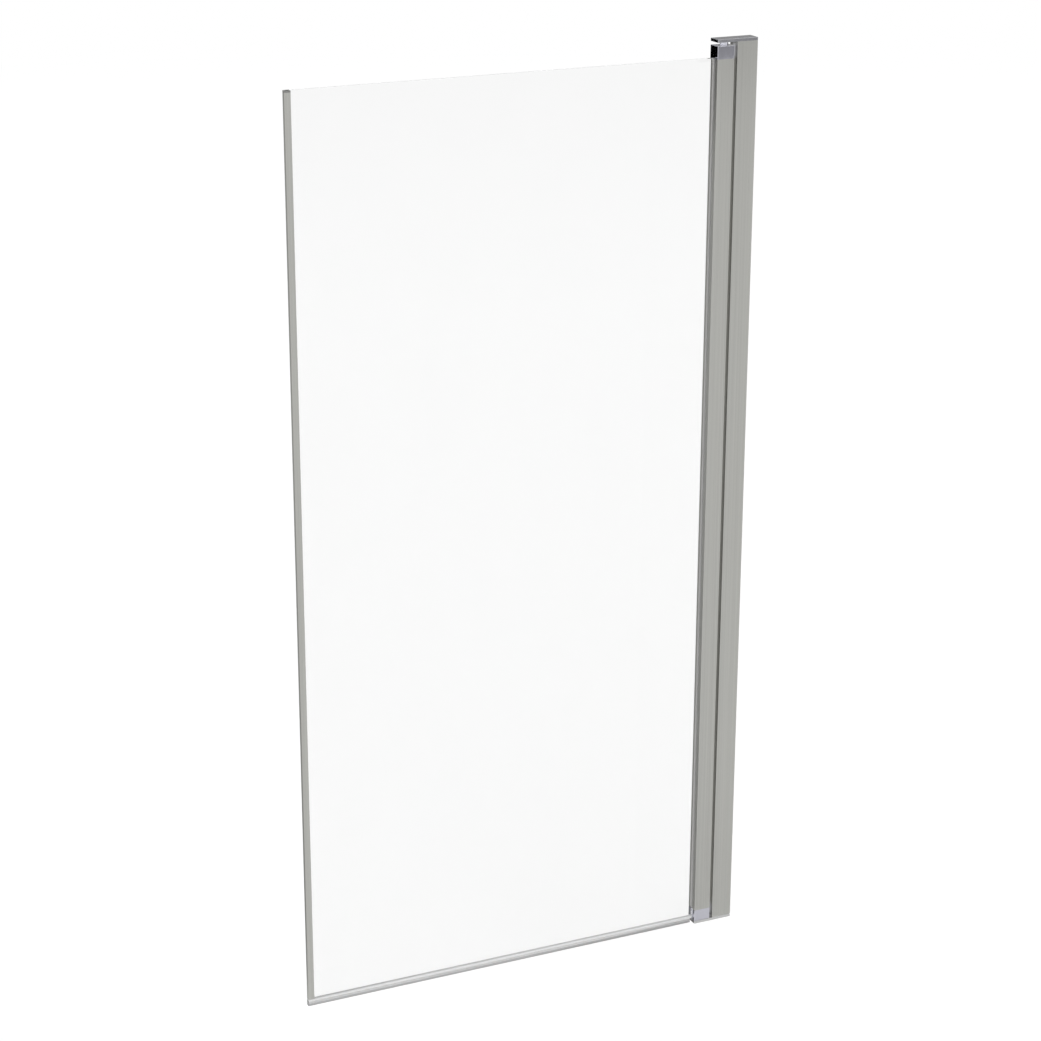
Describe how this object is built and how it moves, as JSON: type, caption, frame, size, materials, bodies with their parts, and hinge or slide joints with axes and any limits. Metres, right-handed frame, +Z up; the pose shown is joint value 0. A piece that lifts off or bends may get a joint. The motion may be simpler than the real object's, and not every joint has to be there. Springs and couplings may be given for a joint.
{
  "type": "bath screen",
  "caption": "Framed glass bath screen on a wall post: the panel pivots outwards and rises clear of the bath rim, and the post adjusts on a wall channel.",
  "frame": {"origin": "centre of the wall channel's back face: on the wall plane, in the glass's mid-plane, at half the screen's height", "axes": "+X into the wall, so the glass reaches towards -X; -Y is the room side and +Y the bath side; +Z up"},
  "size_m": [0.715, 0.0252, 1.4],
  "materials": {
    "satin_aluminium": "satin anodised, fine lengthwise brushing",
    "mill_aluminium": "mill finish",
    "chrome_fittings": "polished chrome plate",
    "chrome_cover": "satin chrome plate",
    "zinc_steel": "bright zinc plate",
    "pin_steel": "ground stainless steel",
    "white_acetal": "moulded acetal",
    "grey_plastic": "moulded grey plastic",
    "clear_glass": "clear toughened, polished edges",
    "grey_gasket": "soft extruded gasket",
    "silicone": "translucent silicone",
    "clear_seal": "clear soft extruded plastic"
  },
  "bodies": {
    "wall_fixing": {"wall_channel": "mill_aluminium"},
    "post": {"wall_profile": "satin_aluminium", "adjust_screws": "zinc_steel", "adjust_nuts": "zinc_steel", "adjust_screw_caps": "grey_plastic", "top_bracket": "zinc_steel", "top_bracket_screws": "zinc_steel", "top_cover": "chrome_cover", "pin_bearing": "white_acetal", "bottom_bracket": "chrome_fittings", "bottom_bracket_screws": "zinc_steel", "bottom_pin": "pin_steel", "fixed_cam": "white_acetal"},
    "top_swivel": {"top_pin": "chrome_fittings", "pin_clip": "pin_steel"},
    "door": {"pivot_profile": "satin_aluminium", "top_block": "chrome_fittings", "bottom_block": "chrome_fittings", "top_block_screws": "zinc_steel", "bottom_block_screws": "zinc_steel", "top_bush": "white_acetal", "lift_cam": "white_acetal", "glass_pane": "clear_glass", "front_gasket": "grey_gasket", "rear_gasket": "grey_gasket", "glass_packers": "white_acetal", "edge_trim": "satin_aluminium", "trim_bead": "silicone", "trim_top_cap": "grey_plastic", "bottom_seal": "clear_seal"}
  },
  "joints": [
    {"name": "width_adjust", "type": "slide", "parent": "wall_fixing", "child": "post", "axis": [-1, 0, 0], "range_m": [0, 0.015]},
    {"name": "swing", "type": "hinge", "parent": "post", "child": "top_swivel", "pos_m": [-0.0493, 0, 0], "axis": [0, 0, 1], "range_deg": [0, 90]},
    {"name": "rise", "type": "slide", "parent": "top_swivel", "child": "door", "axis": [0, 0, 1], "range_m": [0, 0.0046]}
  ],
  "couplings": [
    {"joint": "rise", "follows": "swing", "m_per_rad": 0.002864}
  ]
}
